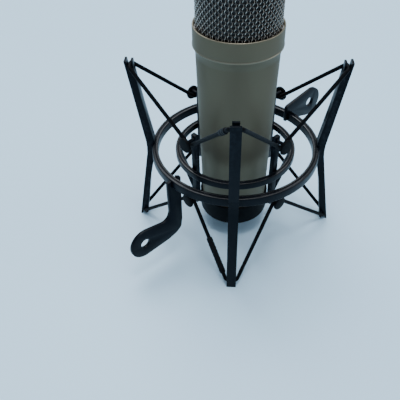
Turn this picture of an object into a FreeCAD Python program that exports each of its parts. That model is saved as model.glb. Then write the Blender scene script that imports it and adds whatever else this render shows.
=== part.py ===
import FreeCAD, Part
import math
import os
import Sketcher
from FreeCAD import Vector, Placement, Rotation

# Side-address condenser microphone standing in its elastic suspension mount.
# Frame: millimetres, +Z up, origin on the microphone's axis at the plane the
# mount's lower prongs stand on. Sub-parts that repeat around the axis are drawn
# once in the XZ plane (X is the radius) and turned into place.

doc = FreeCAD.newDocument("CondenserMicrophone")
sheet = doc.addObject("Spreadsheet::Sheet", "Sizes")

SIZES = [
    # outer frame
    ("ring_outer_rad", 57.5, "outer ring, outside radius"),
    ("ring_inner_rad", 53.2, "outer ring, inside radius"),
    ("ring_bottom", 61.8, "outer ring, underside height"),
    ("ring_top", 68.3, "outer ring, top height"),
    ("ring_round", 1.2, "outer ring, edge rounding"),
    ("arm_width", 6.4, "upright, width across"),
    ("arm_top", 130.7, "upright, upper end height"),
    ("arm_top_out", 69.75, "upright, outer face radius at the upper end"),
    ("arm_top_in", 64.25, "upright, inner face radius at the upper end"),
    ("arm_foot_out", 72.15, "upright, outer face radius at the foot"),
    ("arm_foot_in", 66.65, "upright, inner face radius at the foot"),
    ("arm_knee_out", 61.3, "upright, outer face radius beside the ring"),
    ("arm_bite", 2.0, "upright, how far it laps over and under the ring"),
    ("arm_round", 0.9, "upright, edge rounding"),
    ("notch_width", 2.8, "cord notch in an upright, width"),
    ("notch_depth", 5.25, "cord notch in an upright, depth"),
    # mounting lugs
    ("lug_thick", 2.4, "mounting lug, plate thickness"),
    ("lug_lobe_rad", 11.2, "mounting lug, round end radius"),
    ("lug_hole_rad", 3.5, "mounting lug, pivot hole radius"),
    ("low_lug_reach", 83.0, "dropped lug, hole distance from the axis"),
    ("low_lug_height", 27.4, "dropped lug, hole height"),
    ("high_lug_reach", 78.0, "level lug, hole distance from the axis"),
    ("high_lug_height", 67.6, "level lug, hole height"),
    # cradle
    ("cradle_outer_rad", 41.2, "cradle ring, outside radius"),
    ("cradle_inner_rad", 37.6, "cradle ring, inside radius"),
    ("cradle_bottom", 61.3, "cradle ring, underside height"),
    ("cradle_top", 66.3, "cradle ring, top height"),
    ("cradle_round", 0.9, "cradle ring, edge rounding"),
    ("post_width", 4.2, "cradle post, width across"),
    ("post_in", 34.1, "cradle post, inner face radius"),
    ("post_out", 37.52, "cradle post, outer face radius"),
    ("post_low", 36.8, "cradle post, lower end"),
    ("post_high", 93.3, "cradle post, upper end"),
    ("spool_low", 40.3, "lower spool, neck height"),
    ("spool_high", 90.0, "upper spool, neck height"),
    ("neck_rad", 1.2, "spool neck radius"),
    ("disc_rad", 5.0, "spool disc radius"),
    ("disc_in", 43.4, "spool disc, inner face radius"),
    ("disc_out", 45.0, "spool disc, outer face radius"),
    ("disc_drop", 1.2, "spool disc, offset of its centre from the neck"),
    ("leg_width", 4.0, "cradle leg, width across"),
    ("cup_outer_rad", 24.6, "cup, outside radius"),
    ("cup_inner_rad", 23.3, "cup, inside radius"),
    ("cup_bottom", 12.1, "cup, underside height"),
    ("cup_floor", 14.5, "cup, floor height"),
    ("cup_rim", 27.9, "cup, rim height"),
    ("cup_hole_rad", 12.6, "cup, hole for the microphone's threaded neck"),
    ("washer_top", 15.6, "cup washer, top height"),
    ("lock_outer_rad", 17.5, "lock ring, outside radius"),
    ("lock_inner_rad", 12.0, "lock ring, bore radius"),
    ("lock_bottom", 7.6, "lock ring, underside height"),
    ("lock_top", 12.0, "lock ring, top height"),
    # elastic cords
    ("cord_rad", 1.3, "elastic cord radius"),
    ("cord_hook_bend", 2.75, "cord centreline bend round a spool neck"),
    ("cord_tip_bend", 2.2, "cord centreline bend beside an upright's notch"),
    ("cord_tip_half", 3.65, "half the length of cord lying in a notch"),
    ("prong_half", 2.1, "inner prong, half its width"),
    ("upper_tip_rad", 66.48, "upper cord, radius at a notch"),
    ("upper_tip_height", 127.0, "upper cord, height at a notch"),
    ("lower_tip_rad", 68.73, "lower cord, radius at a notch"),
    ("lower_tip_height", 3.7, "lower cord, height at a notch"),
    ("cord_hook_reach", 40.4, "cord, radius at a spool"),
    ("upper_crimp_rad", 1.9, "upper cord sleeve, outside radius"),
    ("upper_crimp_long", 8.0, "upper cord sleeve, length"),
    ("lower_crimp_rad", 2.1, "lower cord sleeve, outside radius"),
    ("lower_crimp_long", 26.0, "lower cord sleeve, length"),
    # microphone housing
    ("tube_foot_rad", 22.65, "body tube, outside radius at the foot"),
    ("tube_neck_rad", 25.6, "body tube, outside radius under the collar"),
    ("tube_bottom", 15.7, "body tube, lower edge"),
    ("tube_shoulder", 136.6, "body tube, shoulder under the collar"),
    ("tube_top", 148.0, "body tube, upper edge"),
    ("tube_spigot_rad", 24.6, "body tube, spigot radius inside the collar"),
    ("tube_bore_rad", 23.3, "body tube, bore at the top"),
    ("tube_wall", 1.3, "body tube, wall"),
    ("collar_rad", 27.2, "collar, outside radius"),
    ("collar_lip", 142.2, "collar, lower edge of the wide band"),
    ("collar_top", 154.8, "collar, top height"),
    ("collar_recess_rad", 26.0, "collar, radius of the grille recess"),
    ("collar_shelf", 150.4, "collar, shelf height"),
    ("collar_round", 0.55, "collar, top edge rounding"),
    ("mesh_rad", 25.5, "outer mesh, outside radius"),
    ("mesh_wall", 0.7, "outer mesh, thickness"),
    ("mesh_dome", 17.0, "outer mesh, shoulder radius"),
    ("mesh_top", 203.0, "outer mesh, top height"),
    ("fine_rad", 24.5, "inner mesh, outside radius"),
    ("fine_wall", 0.4, "inner mesh, thickness"),
    ("hoop_inner_rad", 23.7, "grille base ring, inside radius"),
    ("hoop_outer_rad", 25.9, "grille base ring, outside radius"),
    ("hoop_top", 152.6, "grille base ring, top height"),
    # capsule
    ("capsule_height", 179.0, "capsule centre height"),
    ("capsule_rad", 17.0, "capsule housing radius"),
    ("capsule_bore", 14.8, "capsule housing bore"),
    ("capsule_half", 4.0, "half the capsule housing's depth"),
    ("backplate_half", 2.9, "half the backplate's thickness"),
    ("vent_rad", 0.7, "backplate vent hole radius"),
    ("film_thick", 0.2, "diaphragm thickness"),
    ("film_rad", 16.4, "diaphragm radius"),
    ("clamp_thick", 1.0, "clamp ring thickness"),
    ("clamp_bore", 13.6, "clamp ring inside radius"),
    ("saddle_half", 6.5, "capsule saddle, half its depth"),
    # inside the body
    ("deck_bottom", 148.1, "deck plate, underside"),
    ("deck_top", 150.3, "deck plate, top"),
    ("deck_rad", 24.5, "deck plate radius"),
    ("rail_reach", 17.6, "frame rail, inner face from the axis"),
    ("rail_thick", 1.6, "frame rail thickness"),
    ("rail_half", 4.0, "frame rail, half its width"),
    ("board_half", 17.4, "circuit board, half its width"),
    ("board_low", 44.0, "circuit board, lower edge"),
    ("board_high", 132.0, "circuit board, upper edge"),
    ("board_thick", 1.6, "circuit board thickness"),
    ("plug_rad", 21.3, "base plug flange radius"),
    ("plug_top", 18.7, "base plug flange, top"),
    ("socket_rad", 9.6, "connector socket bore radius"),
    ("socket_wall_rad", 11.9, "threaded neck radius"),
    ("socket_mouth", 7.2, "connector socket, mouth height"),
    ("socket_end", 25.0, "connector socket, upper end"),
    ("insert_low", 21.0, "connector insert, face height"),
    ("pin_rad", 1.2, "connector pin radius"),
    ("pin_reach", 4.4, "connector pin, distance from the axis"),
]

for row, (alias, value, note) in enumerate(SIZES, start=1):
    sheet.set("A%d" % row, alias)
    sheet.set("B%d" % row, str(value))
    sheet.setAlias("B%d" % row, alias)
    sheet.set("C%d" % row, note)
doc.recompute()

D = {alias: float(sheet.get(alias)) for alias, value, note in SIZES}
SUBPARTS = []


def value_of(formula):
    """A formula is a sum or difference of sheet aliases and plain numbers."""
    total, sign, word = 0.0, 1.0, ""
    for ch in formula.replace(" ", "") + "+":
        if ch in "+-":
            if word:
                total += sign * (D[word] if word in D else float(word))
            sign, word = (1.0 if ch == "+" else -1.0), ""
        else:
            word += ch
    return total


def bound(formula):
    """The same formula as an expression that reads the sheet."""
    out, word = "", ""
    for ch in formula.replace(" ", "") + "\n":
        if ch in "+-\n":
            if word:
                out += ("Sizes." + word) if word in D else word
            out += "" if ch == "\n" else " " + ch + " "
            word = ""
        else:
            word += ch
    return out


def plane_of(body, role):
    for feature in body.Origin.OriginFeatures:
        if feature.Role == role:
            return feature
    raise ValueError(role)


def new_body(label, turn=0.0):
    body = doc.addObject("PartDesign::Body", label)
    body.Label = label
    body.Placement = Placement(Vector(0, 0, 0), Rotation(Vector(0, 0, 1), turn))
    SUBPARTS.append(body)
    return body


def new_sketch(body, name, role="XZ_Plane", offset=0.0):
    sketch = body.newObject("Sketcher::SketchObject", body.Label + "_" + name)
    sketch.AttachmentSupport = [(plane_of(body, role), "")]
    sketch.MapMode = "FlatFace"
    if offset:
        sketch.AttachmentOffset = Placement(Vector(0, 0, offset), Rotation())
    return sketch


def draw_outline(sketch, corners, arcs=None):
    """Closed outline through the corners; each corner's two coordinates are
    sheet formulas. arcs maps a side's index to (radius formula, turn), where
    turn is +1 for a side that bulges to the right of its direction, -1 to the
    left, and 2 or -2 when the arc is more than half a circle."""
    arcs = arcs or {}
    pts = [Vector(value_of(u), value_of(v), 0) for u, v in corners]
    count = len(pts)
    starts = {}
    for i in range(count):
        a, b = pts[i], pts[(i + 1) % count]
        if i in arcs:
            radius, turn = value_of(arcs[i][0]), (1 if arcs[i][1] > 0 else -1)
            side = -1 if abs(arcs[i][1]) == 2 else 1
            mid = (a + b) * 0.5
            chord = b - a
            left = Vector(-chord.y, chord.x, 0).normalize()
            rise = math.sqrt(max(radius * radius - (chord.Length / 2.0) ** 2, 0.0))
            centre = mid + left * (rise * turn * side)
            first = math.atan2(a.y - centre.y, a.x - centre.x)
            last = math.atan2(b.y - centre.y, b.x - centre.x)
            circle = Part.Circle(centre, Vector(0, 0, 1), radius)
            if turn > 0:
                geo = sketch.addGeometry(Part.ArcOfCircle(circle, first, last), False)
                starts[i] = (geo, 1, 2)
            else:
                geo = sketch.addGeometry(Part.ArcOfCircle(circle, last, first), False)
                starts[i] = (geo, 2, 1)
        else:
            geo = sketch.addGeometry(Part.LineSegment(a, b), False)
            starts[i] = (geo, 1, 2)
    for i in range(count):
        geo, head, tail = starts[i]
        nxt, nhead, ntail = starts[(i + 1) % count]
        sketch.addConstraint(Sketcher.Constraint("Coincident", geo, tail, nxt, nhead))
    for i in range(count):
        geo, head, tail = starts[i]
        u, v = corners[i]
        for kind, formula, amount, axis in (("DistanceX", u, pts[i].x, -2), ("DistanceY", v, pts[i].y, -1)):
            if abs(amount) < 1e-9:
                sketch.addConstraint(Sketcher.Constraint("PointOnObject", geo, head, axis))
            else:
                index = sketch.addConstraint(Sketcher.Constraint(kind, -1, 1, geo, head, amount))
                sketch.setExpression("Constraints[%d]" % index, bound(formula))
    for i in arcs:
        geo = starts[i][0]
        index = sketch.addConstraint(Sketcher.Constraint("Radius", geo, value_of(arcs[i][0])))
        sketch.setExpression("Constraints[%d]" % index, bound(arcs[i][0]))
    return sketch


def draw_circle(sketch, u, v, radius):
    cu, cv, cr = value_of(u), value_of(v), value_of(radius)
    geo = sketch.addGeometry(Part.Circle(Vector(cu, cv, 0), Vector(0, 0, 1), cr), False)
    index = sketch.addConstraint(Sketcher.Constraint("Radius", geo, cr))
    sketch.setExpression("Constraints[%d]" % index, bound(radius))
    for kind, formula, amount, axis in (("DistanceX", u, cu, -2), ("DistanceY", v, cv, -1)):
        if abs(amount) < 1e-9:
            sketch.addConstraint(Sketcher.Constraint("PointOnObject", geo, 3, axis))
        else:
            index = sketch.addConstraint(Sketcher.Constraint(kind, -1, 1, geo, 3, amount))
            sketch.setExpression("Constraints[%d]" % index, bound(formula))


def turned(body, corners, arcs=None, name="profile"):
    """Solid of revolution about the body's Z axis."""
    sketch = draw_outline(new_sketch(body, name), corners, arcs)
    feature = body.newObject("PartDesign::Revolution", body.Label + "_turn")
    feature.Profile = sketch
    feature.ReferenceAxis = (sketch, ["V_Axis"])
    feature.Angle = 360.0
    body.Tip = feature
    return feature


def slab(body, sketch, width, symmetric=True, reverse=False, name="slab"):
    feature = body.newObject("PartDesign::Pad", body.Label + "_" + name)
    feature.Profile = sketch
    feature.SideType = "Symmetric" if symmetric else "One side"
    feature.Length = value_of(width)
    feature.setExpression("Length", bound(width))
    feature.Reversed = reverse
    body.Tip = feature
    return feature


def cut(body, sketch, width, name="cut", symmetric=True):
    feature = body.newObject("PartDesign::Pocket", body.Label + "_" + name)
    feature.Profile = sketch
    feature.SideType = "Symmetric" if symmetric else "One side"
    feature.Type = "Length"
    feature.Length = value_of(width)
    feature.setExpression("Length", bound(width))
    body.Tip = feature
    return feature


def rounded(body, feature, radius, chosen):
    """Round the edges of the body's tip that the test chooses."""
    doc.recompute()
    names = ["Edge%d" % (i + 1) for i, edge in enumerate(feature.Shape.Edges) if chosen(edge)]
    if not names:
        raise ValueError("no edges to round on " + body.Label)
    fillet = body.newObject("PartDesign::Fillet", body.Label + "_round")
    fillet.Base = (feature, names)
    fillet.Radius = value_of(radius)
    fillet.setExpression("Radius", bound(radius))
    body.Tip = fillet
    return fillet


def circle_at(edge, radius, height):
    curve = edge.Curve
    return (curve.TypeId == "Part::GeomCircle" and abs(curve.Radius - radius) < 1e-3
            and abs(curve.Center.z - height) < 1e-3)


# ---------------------------------------------------------------- outer frame
body = new_body("outer_ring")
ring = turned(body, [("ring_inner_rad", "ring_bottom"), ("ring_outer_rad", "ring_bottom"),
                     ("ring_outer_rad", "ring_top"), ("ring_inner_rad", "ring_top")])
rounded(body, ring, "ring_round", lambda e: e.Curve.TypeId == "Part::GeomCircle")

# An upright stands outside the ring and laps over and under it. Each end is
# split by a notch that the elastic cord lies in.
ARM = [("arm_foot_in", "0"), ("arm_foot_out", "0"),
       ("arm_knee_out+0.35", "60"), ("arm_knee_out", "64.5"), ("arm_knee_out+0.15", "70"),
       ("arm_top_out", "arm_top"), ("arm_top_in", "arm_top"), ("arm_top_in-0.15", "arm_top-5"),
       ("60.7", "101"), ("57.6", "82"), ("55.9", "ring_top+3.2"), ("ring_outer_rad-arm_bite", "ring_top"),
       ("ring_outer_rad", "ring_top"), ("ring_outer_rad", "ring_bottom"),
       ("ring_outer_rad-0.9", "ring_bottom"), ("57.5", "55"), ("61.4", "36")]
for label, turn in (("upright_right", 0.0), ("upright_back", 90.0),
                    ("upright_left", 180.0), ("upright_front", 270.0)):
    body = new_body(label, turn)
    arm = slab(body, draw_outline(new_sketch(body, "side"), ARM), "arm_width")
    lean_high = (D["arm_top_out"] - D["arm_knee_out"]) / (D["arm_top"] - 70.0)
    lean_low = (D["arm_foot_out"] - D["arm_knee_out"]) / 60.0
    # notch outlines: a round-bottomed slot along the arm's own direction
    for name, mid_rad, end_z, up in (("upper_notch", (D["arm_top_out"] + D["arm_top_in"]) / 2, D["arm_top"], 1),
                                     ("lower_notch", (D["arm_foot_out"] + D["arm_foot_in"]) / 2, 0.0, -1)):
        lean = lean_high if up > 0 else lean_low
        run = Vector(-lean, -1.0 if up > 0 else 1.0, 0).normalize()
        side = Vector(-run.y, run.x, 0)
        half = D["notch_width"] / 2
        mouth = Vector(mid_rad, end_z, 0)
        floor = mouth + run * (D["notch_depth"] - half)
        far = mouth - run * 1.5
        sketch = new_sketch(body, name)
        one = sketch.addGeometry(Part.LineSegment(far + side * half, floor + side * half), False)
        arc = sketch.addGeometry(Part.Arc(floor + side * half, floor + run * half, floor - side * half), False)
        two = sketch.addGeometry(Part.LineSegment(floor - side * half, far - side * half), False)
        end = sketch.addGeometry(Part.LineSegment(far - side * half, far + side * half), False)
        index = sketch.addConstraint(Sketcher.Constraint("Radius", arc, half))
        sketch.setExpression("Constraints[%d]" % index, "Sizes.notch_width / 2")
        cut(body, sketch, "arm_width+2", name)
    # the inner prongs are narrowed so that the cord can turn in beside them
    for name, corners in (("upper_relief", [("63.0", "arm_top+1"), ("66.4", "arm_top+1"), ("66.0", "125.5"), ("63.0", "122.8")]),
                          ("lower_relief", [("64.0", "8.2"), ("66.9", "8.2"), ("68.3", "5.4"), ("68.6", "0-1"), ("64.0", "0-1")])):
        for side in (1, -1):
            sketch = draw_outline(new_sketch(body, "%s_%d" % (name, side), "XZ_Plane", side * D["prong_half"]), corners)
            sketch.setExpression("AttachmentOffset.Base.z", "Sizes.prong_half * %d" % side)
            pocket = cut(body, sketch, "arm_width", "%s_cut_%d" % (name, side), False)
            pocket.Reversed = side > 0
    doc.recompute()
    tip = body.Tip

    outline = [(value_of(u), value_of(v)) for u, v in ARM]

    def on_face(p, chain):
        for (r0, z0), (r1, z1) in zip(chain, chain[1:]):
            if min(z0, z1) - 1e-3 <= p.z <= max(z0, z1) + 1e-3:
                if abs(r0 + (r1 - r0) * (p.z - z0) / (z1 - z0) - p.x) < 0.01:
                    return True
        return False

    def long_edge(e):
        if e.Curve.TypeId != "Part::GeomLine":
            return False
        ends = [v.Point for v in e.Vertexes]
        if any(abs(abs(p.y) - D["arm_width"] / 2) > 1e-3 for p in ends) or ends[0].y * ends[-1].y < 0:
            return False
        return all(on_face(p, outline[1:6]) for p in ends)
    rounded(body, tip, "arm_round", long_edge)

# The dropped lug grips the ring from below, hangs down and then turns outward.
body = new_body("lug_dropped", -135.0)
LOW = [("49.9", "ring_top-1.1"), ("50.7", "30"), ("52.0", "22.5"), ("56.6", "19.4"),
       ("64.0", "17.5"), ("low_lug_reach-1.0", "low_lug_height-lug_lobe_rad+0.045"),
       ("low_lug_reach-1.6", "low_lug_height+lug_lobe_rad-0.115"),
       ("72.0", "36.6"), ("66.0", "35.4"), ("62.6", "37.2"), ("60.7", "41.5"),
       ("60.7", "ring_top-1.3"), ("ring_outer_rad+0.05", "ring_top-0.6"), ("ring_outer_rad+0.05", "ring_bottom"),
       ("ring_inner_rad-0.05", "ring_bottom"), ("ring_inner_rad-0.05", "ring_top+0.9")]
sketch = draw_outline(new_sketch(body, "outline"), LOW, {5: ("lug_lobe_rad", 2)})
draw_circle(sketch, "low_lug_reach", "low_lug_height", "lug_hole_rad")
plate = slab(body, sketch, "lug_thick")

# The level lug is hooked over the ring and points outward and slightly up.
body = new_body("lug_level", 45.0)
HIGH = [("51.3", "ring_bottom+0.3"), ("ring_inner_rad-0.05", "ring_bottom+0.3"), ("ring_inner_rad-0.05", "ring_top"),
        ("ring_outer_rad+0.1", "ring_top"), ("ring_outer_rad+0.1", "ring_bottom"),
        ("60.0", "61.2"), ("high_lug_reach-4.6", "high_lug_height-lug_lobe_rad+0.989"),
        ("high_lug_reach-3.2", "high_lug_height+lug_lobe_rad-0.4668"), ("53.0", "74.8"), ("51.3", "73.6")]
sketch = draw_outline(new_sketch(body, "outline"), HIGH, {6: ("lug_lobe_rad", 2)})
draw_circle(sketch, "high_lug_reach", "high_lug_height", "lug_hole_rad")
plate = slab(body, sketch, "lug_thick")

# ---------------------------------------------------------------- cradle
body = new_body("cradle_ring")
ring = turned(body, [("cradle_inner_rad", "cradle_bottom"), ("cradle_outer_rad", "cradle_bottom"),
                     ("cradle_outer_rad", "cradle_top"), ("cradle_inner_rad", "cradle_top")])
rounded(body, ring, "cradle_round",
        lambda e: circle_at(e, D["cradle_outer_rad"], D["cradle_bottom"]) or circle_at(e, D["cradle_outer_rad"], D["cradle_top"])
        or circle_at(e, D["cradle_inner_rad"], D["cradle_top"]))

for label, turn in (("cradle_post_back_right", 45.0), ("cradle_post_back_left", 135.0),
                    ("cradle_post_front_left", 225.0), ("cradle_post_front_right", 315.0)):
    body = new_body(label, turn)
    post = slab(body, draw_outline(new_sketch(body, "side"),
                [("post_in", "post_low"), ("post_out", "post_low"),
                 ("post_out", "post_high"), ("post_in", "post_high")]), "post_width")
    post = rounded(body, post, "0.7", lambda e: (abs(e.Vertexes[0].Point.x - D["post_in"]) < 1e-3
                                                 and abs(e.Vertexes[-1].Point.x - D["post_in"]) < 1e-3)
                   or (e.Length < 5.0 and abs(e.Vertexes[0].Point.z - e.Vertexes[-1].Point.z) < 1e-3
                       and abs(e.Vertexes[0].Point.x - e.Vertexes[-1].Point.x) < 1e-3))
    for name, neck, drop in (("upper", "spool_high", "spool_high-disc_drop"), ("lower", "spool_low", "spool_low+disc_drop")):
        sketch = new_sketch(body, name + "_neck", "YZ_Plane", 37.0)
        sketch.setExpression("AttachmentOffset.Base.z", "Sizes.post_out - 0.5")
        draw_circle(sketch, "0", neck, "neck_rad")
        slab(body, sketch, "disc_in-post_out+0.9", False, name=name + "_neck_pad")
        sketch = new_sketch(body, name + "_disc", "YZ_Plane", 43.0)
        sketch.setExpression("AttachmentOffset.Base.z", "Sizes.disc_in")
        draw_circle(sketch, "0", drop, "disc_rad")
        pad = slab(body, sketch, "disc_out-disc_in", False, name=name + "_disc_pad")
    rounded(body, body.Tip, "0.5", lambda e: e.Curve.TypeId == "Part::GeomCircle" and abs(e.Curve.Radius - D["disc_rad"]) < 1e-3)

for label, turn in (("cradle_leg_right", 0.0), ("cradle_leg_back", 90.0),
                    ("cradle_leg_left", 180.0), ("cradle_leg_front", 270.0)):
    body = new_body(label, turn)
    leg = slab(body, draw_outline(new_sketch(body, "side"),
               [("cradle_inner_rad+0.1", "cradle_bottom"), ("cup_outer_rad+0.03", "cup_floor+5.0"),
                ("cup_outer_rad+0.03", "cup_floor"), ("cup_outer_rad+2.4", "cup_floor"),
                ("cradle_outer_rad-0.3", "cradle_bottom")]), "leg_width")
    rounded(body, leg, "0.7", lambda e: e.Length > 30.0)

body = new_body("cup")
cup = turned(body, [("cup_hole_rad", "cup_bottom"), ("cup_outer_rad", "cup_bottom"),
                    ("cup_outer_rad", "cup_rim"), ("cup_inner_rad", "cup_rim"),
                    ("cup_inner_rad", "cup_floor"), ("cup_hole_rad", "cup_floor")])
cup = rounded(body, cup, "2.2", lambda e: circle_at(e, D["cup_outer_rad"], D["cup_bottom"]))

body = new_body("cup_washer")
turned(body, [("cup_hole_rad+0.6", "cup_floor"), ("cup_inner_rad-0.3", "cup_floor"),
              ("cup_inner_rad-0.3", "washer_top"), ("cup_hole_rad+0.6", "washer_top")])

# The lock ring is cut with finger grooves all round.
body = new_body("lock_ring")
ring = turned(body, [("lock_inner_rad", "lock_bottom"), ("lock_outer_rad-0.6", "lock_bottom"),
                     ("lock_outer_rad", "lock_bottom+0.6"), ("lock_outer_rad", "lock_top-0.6"),
                     ("lock_outer_rad-0.6", "lock_top"), ("lock_inner_rad", "lock_top")])
sketch = new_sketch(body, "groove", "XY_Plane")
draw_circle(sketch, "lock_outer_rad+0.35", "0", "0.8")
groove = cut(body, sketch, "30", "groove_cut")
pattern = body.newObject("PartDesign::PolarPattern", "lock_ring_grooves")
pattern.Originals = [groove]
pattern.Axis = (sketch, ["N_Axis"])
pattern.Angle = 360.0
pattern.Occurrences = 40
body.Tip = pattern

# ---------------------------------------------------------------- elastic cords


def loop_points(tip_rad, tip_z, hook_rad, hook_z):
    """Corners of one endless cord: two at each notch, one at each spool."""
    half = D["cord_tip_half"]
    points = []
    for k in range(4):
        t = math.radians(-90.0 + 90.0 * k)
        out, along = Vector(math.cos(t), math.sin(t), 0), Vector(-math.sin(t), math.cos(t), 0)
        for s in (-half, half):
            points.append((out * tip_rad + along * s + Vector(0, 0, tip_z), D["cord_tip_bend"]))
        h = t + math.pi / 4
        points.append((Vector(hook_rad * math.cos(h), hook_rad * math.sin(h), hook_z), D["cord_hook_bend"]))
    return points


def cord_solid(points, radius):
    """Round section carried along straight runs joined by tangent arcs."""
    count, bends = len(points), []
    for i in range(count):
        p, bend = points[i]
        before = (p - points[i - 1][0]).normalize()
        after = (points[(i + 1) % count][0] - p).normalize()
        turn = before.getAngle(after)
        back = bend * math.tan(turn / 2.0)
        bends.append((p - before * back, p + after * back, before, after, turn, bend))
    solids, length = [], 0.0
    for i in range(count):
        start, end, before, after, turn, bend = bends[i]
        axis = before.cross(after).normalize()
        inward = axis.cross(before).normalize()
        centre = start + inward * bend
        face = Part.Face(Part.Wire(Part.Circle(start, before, radius).toShape()))
        solids.append(face.revolve(centre, axis, math.degrees(turn)))
        nxt = bends[(i + 1) % count][0]
        run = nxt - end
        solids.append(Part.makeCylinder(radius, run.Length, end, run))
        length += bend * turn + run.Length
    solid = solids[0].fuse(solids[1:]).removeSplitter()
    if solid.ShapeType != "Solid":
        solid = solid.Solids[0] if len(solid.Solids) == 1 else solid
    return solid, length, bends


def add_shape(label, shape):
    feature = doc.addObject("Part::Feature", label)
    feature.Label = label
    feature.Shape = shape
    feature.Placement = Placement()
    SUBPARTS.append(feature)
    return feature


apex = D["cord_hook_bend"] * (1.0 / math.cos(math.radians(39.2)) - 1.0)
upper_points = loop_points(D["upper_tip_rad"], D["upper_tip_height"], D["cord_hook_reach"],
                           D["spool_high"] - D["cord_hook_bend"] - apex)
lower_points = loop_points(D["lower_tip_rad"], D["lower_tip_height"], D["cord_hook_reach"],
                           D["spool_low"] + D["cord_hook_bend"] + apex)
for label, points in (("upper_cord", upper_points), ("lower_cord", lower_points)):
    solid, length, bends = cord_solid(points, D["cord_rad"])
    add_shape(label, solid)
    print("%s: length %.1f mm, volume %.1f mm3, section times length %.1f mm3, arcs %.1f and %.1f mm"
          % (label, length, solid.Volume, math.pi * D["cord_rad"] ** 2 * length, D["cord_tip_bend"], D["cord_hook_bend"]))


def sleeve(label, points, first, second, start, length, outer):
    """Crimped sleeve on the run between two corners; start is measured from the first."""
    a, b = points[first][0], points[second][0]
    direction = (b - a).normalize()
    base = a + direction * start
    tube = Part.makeCylinder(outer, length, base, direction).cut(
        Part.makeCylinder(D["cord_rad"], length + 2, base - direction, direction))
    add_shape(label, tube)


# corner 0 is the front notch's left end, corner 11 the front left spool
sleeve("upper_cord_sleeve", upper_points, 0, 11, 3.6, D["upper_crimp_long"], D["upper_crimp_rad"])
sleeve("lower_cord_sleeve", lower_points, 0, 11, 5.0, D["lower_crimp_long"], D["lower_crimp_rad"])

# ---------------------------------------------------------------- housing
body = new_body("body_tube")
turned(body, [("tube_foot_rad-tube_wall", "tube_bottom"), ("tube_foot_rad", "tube_bottom"),
              ("tube_neck_rad", "tube_shoulder-0.05"), ("tube_spigot_rad-0.02", "tube_shoulder-0.05"),
              ("tube_spigot_rad-0.02", "tube_top"), ("tube_bore_rad", "tube_top"),
              ("tube_bore_rad", "tube_shoulder-8")])

body = new_body("collar")
collar = turned(body, [("tube_spigot_rad", "tube_shoulder"), ("tube_neck_rad", "tube_shoulder"),
                       ("collar_rad", "collar_lip"), ("collar_rad", "collar_top"),
                       ("collar_recess_rad", "collar_top"), ("collar_recess_rad", "collar_shelf"),
                       ("tube_spigot_rad", "collar_shelf")])
rounded(body, collar, "collar_round", lambda e: circle_at(e, D["collar_rad"], D["collar_top"])
        or circle_at(e, D["collar_recess_rad"], D["collar_top"]))

body = new_body("grille_base_ring")
turned(body, [("hoop_inner_rad", "collar_shelf+0.02"), ("hoop_outer_rad", "collar_shelf+0.02"),
              ("hoop_outer_rad", "hoop_top"), ("hoop_inner_rad", "hoop_top")])

for label, outer, wall, dome, top in (("grille_outer_mesh", "mesh_rad", "mesh_wall", "mesh_dome", "mesh_top"),
                                      ("grille_inner_mesh", "fine_rad", "fine_wall", "mesh_dome-mesh_rad+fine_rad", "mesh_top-mesh_rad+fine_rad")):
    body = new_body(label)
    turned(body, [(outer + "-" + wall, "hoop_top"), (outer, "hoop_top"),
                  (outer, "mesh_top-mesh_dome"), ("mesh_rad-mesh_dome", top),
                  ("0", top), ("0", top + "-" + wall), ("mesh_rad-mesh_dome", top + "-" + wall),
                  (outer + "-" + wall, "mesh_top-mesh_dome")],
           {2: (dome, 1), 6: (dome + "-" + wall, -1)})

# ---------------------------------------------------------------- capsule, seen along Y


def drum(label, y_mid, depth, outer, bore=None):
    """Disc or ring whose axis runs along Y through the capsule's centre."""
    body = new_body(label)
    sketch = new_sketch(body, "face", "XZ_Plane", -y_mid)
    draw_circle(sketch, "0", "capsule_height", outer)
    if bore:
        draw_circle(sketch, "0", "capsule_height", bore)
    slab(body, sketch, depth)
    return body


drum("capsule_housing", 0.0, "capsule_half+capsule_half", "capsule_rad", "capsule_bore")
body = drum("capsule_backplate", 0.0, "backplate_half+backplate_half", "capsule_bore-0.02")
for reach, holes in ((5.0, 8), (10.5, 16)):
    sketch = new_sketch(body, "vents_%d" % holes)
    for k in range(holes):
        t = 2 * math.pi * k / holes
        draw_circle(sketch, "%.4f" % (reach * math.cos(t)) if abs(math.cos(t)) > 1e-6 else "0",
                    "capsule_height" + ("%+.4f" % (reach * math.sin(t))), "vent_rad")
    cut(body, sketch, "20", "vent_cut_%d" % holes)
for label, side in (("front", -1), ("rear", 1)):
    drum("capsule_diaphragm_" + label, side * (D["capsule_half"] + D["film_thick"] / 2), "film_thick", "film_rad")
    drum("capsule_clamp_" + label, side * (D["capsule_half"] + D["film_thick"] + D["clamp_thick"] / 2),
         "clamp_thick", "capsule_rad", "clamp_bore")

# clamp screws: pan heads standing on the two clamp rings
heads = []
for side in (-1, 1):
    for k in range(8):
        t = math.radians(22.5 + 45.0 * k)
        base = Vector(15.2 * math.cos(t), side * (D["capsule_half"] + D["film_thick"] + D["clamp_thick"]),
                      D["capsule_height"] + 15.2 * math.sin(t))
        heads.append(Part.makeCylinder(1.0, 0.8, base, Vector(0, side, 0)))
add_shape("capsule_screws", Part.makeCompound(heads))

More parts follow.
